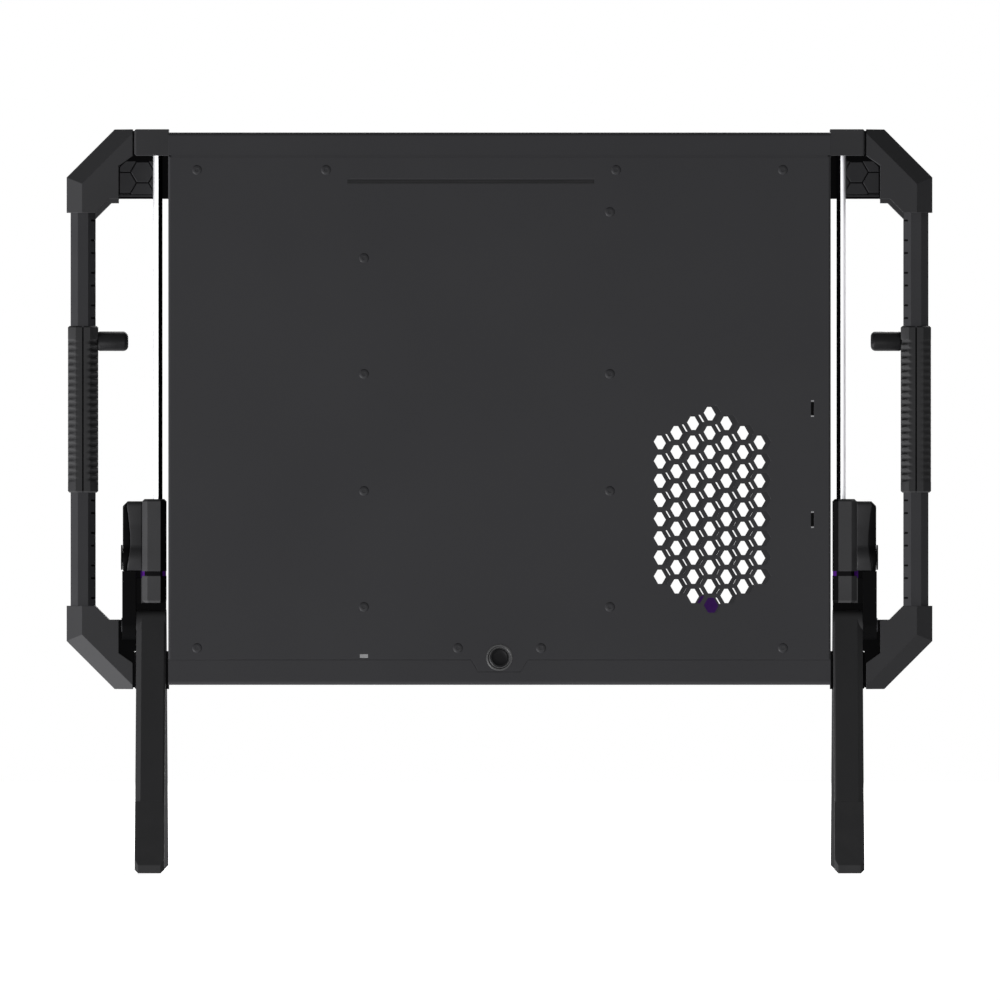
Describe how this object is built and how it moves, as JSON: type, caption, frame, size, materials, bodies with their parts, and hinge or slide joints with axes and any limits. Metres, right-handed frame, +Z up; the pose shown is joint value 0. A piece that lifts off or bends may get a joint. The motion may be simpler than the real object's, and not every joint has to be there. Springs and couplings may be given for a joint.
{
  "type": "portable computer case",
  "caption": "Flat charcoal mini-ITX computer case with side carry handles, a honeycomb vent and a sliding clamp-on stand with folding legs.",
  "frame": {"origin": "on the ground plane, under the middle of the case, halfway between the back and front feet", "axes": "+X to the right of someone facing the back cover, +Y from the back cover to the front cover, +Z up"},
  "size_m": [0.5552, 0.2314, 0.4756],
  "materials": {
    "board_bar": "plain milled bar",
    "bolt_steel": "turned steel",
    "boot_rubber": "matt black",
    "bracket_black": "black anodised",
    "button_black": "polished black",
    "case_panel": "matt charcoal anodised sheet",
    "clamp_bolt": "blackened",
    "clamp_metal": "satin charcoal machined",
    "end_block": "satin charcoal machined",
    "grip_plastic": "ribbed black",
    "gusset_plastic": "black with honeycomb grooves",
    "handle_elbow": "satin charcoal machined",
    "handle_tube": "satin charcoal extrusion",
    "inner_plate": "matt charcoal anodised sheet",
    "knob_gloss": "polished black",
    "leg_metal": "dark charcoal extrusion",
    "lever_plastic": "black moulded",
    "rod_chrome": "polished",
    "standoff_brass": "turned brass",
    "violet_lens": "translucent violet",
    "violet_washer": "dark violet"
  },
  "bodies": {
    "case": {"board_standoffs": "standoff_brass", "bottom_rail": "case_panel", "expansion_bracket": "inner_plate", "front_cover": "case_panel", "io_plate": "inner_plate", "left_board_rail": "board_bar", "left_corner_gusset": "gusset_plastic", "left_grip_inner_half": "grip_plastic", "left_grip_outer_half": "grip_plastic", "left_guide_rod": "rod_chrome", "left_handle_bolts": "bolt_steel", "left_handle_tube": "handle_tube", "left_lower_elbow": "handle_elbow", "left_lower_end_block": "end_block", "left_lower_gusset": "bracket_black", "left_side_wall": "case_panel", "left_upper_elbow": "handle_elbow", "left_upper_end_block": "end_block", "power_button_bezel": "button_black", "psu_bracket": "inner_plate", "rear_cover": "case_panel", "right_board_rail": "board_bar", "right_corner_gusset": "gusset_plastic", "right_grip_inner_half": "grip_plastic", "right_grip_outer_half": "grip_plastic", "right_guide_rod": "rod_chrome", "right_handle_bolts": "bolt_steel", "right_handle_tube": "handle_tube", "right_lower_elbow": "handle_elbow", "right_lower_end_block": "end_block", "right_lower_gusset": "bracket_black", "right_side_wall": "case_panel", "right_upper_elbow": "handle_elbow", "right_upper_end_block": "end_block", "status_lens": "violet_lens", "top_rail": "case_panel"},
    "power_button": {"power_button_cap": "button_black"},
    "left_carriage": {"left_clamp_block": "clamp_metal", "left_clamp_washer": "violet_washer", "left_hinge_bracket": "bracket_black", "left_clamp_bolt": "clamp_bolt", "left_leg_pins": "bolt_steel"},
    "left_lever": {"left_clamp_lever": "lever_plastic"},
    "left_rear_stand": {"left_rear_leg": "leg_metal", "left_rear_boot": "boot_rubber"},
    "left_front_stand": {"left_front_leg": "leg_metal", "left_front_boot": "boot_rubber"},
    "left_plunger": {"left_grip_plunger": "knob_gloss"},
    "right_carriage": {"right_clamp_block": "clamp_metal", "right_clamp_washer": "violet_washer", "right_hinge_bracket": "bracket_black", "right_clamp_bolt": "clamp_bolt", "right_leg_pins": "bolt_steel"},
    "right_lever": {"right_clamp_lever": "lever_plastic"},
    "right_rear_stand": {"right_rear_leg": "leg_metal", "right_rear_boot": "boot_rubber"},
    "right_front_stand": {"right_front_leg": "leg_metal", "right_front_boot": "boot_rubber"},
    "right_plunger": {"right_grip_plunger": "knob_gloss"}
  },
  "joints": [
    {"name": "power_button_press", "type": "slide", "parent": "case", "child": "power_button", "axis": [0, 1, 0], "range_m": [0, 0.002], "stiffness_N_per_m": 600, "springref_m": -0.001},
    {"name": "left_carriage_slide", "type": "slide", "parent": "case", "child": "left_carriage", "axis": [0, 0, 1], "range_m": [0, 0.19]},
    {"name": "left_lever_swing", "type": "hinge", "parent": "left_carriage", "child": "left_lever", "pos_m": [-0.2353, -0.015, 0.2012], "axis": [1, 0, 0], "range_deg": [0, 100]},
    {"name": "left_rear_leg_fold", "type": "hinge", "parent": "left_carriage", "child": "left_rear_stand", "pos_m": [-0.2232, -0.0165, 0.158], "axis": [1, 0, 0], "range_deg": [0, 30]},
    {"name": "left_front_leg_fold", "type": "hinge", "parent": "left_carriage", "child": "left_front_stand", "pos_m": [-0.2232, 0.0165, 0.158], "axis": [-1, 0, 0], "range_deg": [0, 30]},
    {"name": "left_plunger_pull", "type": "slide", "parent": "case", "child": "left_plunger", "axis": [1, 0, 0], "range_m": [0, 0.004], "stiffness_N_per_m": 500, "springref_m": -0.001},
    {"name": "right_carriage_slide", "type": "slide", "parent": "case", "child": "right_carriage", "axis": [0, 0, 1], "range_m": [0, 0.19]},
    {"name": "right_lever_swing", "type": "hinge", "parent": "right_carriage", "child": "right_lever", "pos_m": [0.2353, -0.015, 0.2012], "axis": [1, 0, 0], "range_deg": [0, 100]},
    {"name": "right_rear_leg_fold", "type": "hinge", "parent": "right_carriage", "child": "right_rear_stand", "pos_m": [0.2232, -0.0165, 0.158], "axis": [1, 0, 0], "range_deg": [0, 30]},
    {"name": "right_front_leg_fold", "type": "hinge", "parent": "right_carriage", "child": "right_front_stand", "pos_m": [0.2232, 0.0165, 0.158], "axis": [-1, 0, 0], "range_deg": [0, 30]},
    {"name": "right_plunger_pull", "type": "slide", "parent": "case", "child": "right_plunger", "axis": [-1, 0, 0], "range_m": [0, 0.004], "stiffness_N_per_m": 500, "springref_m": -0.001}
  ]
}
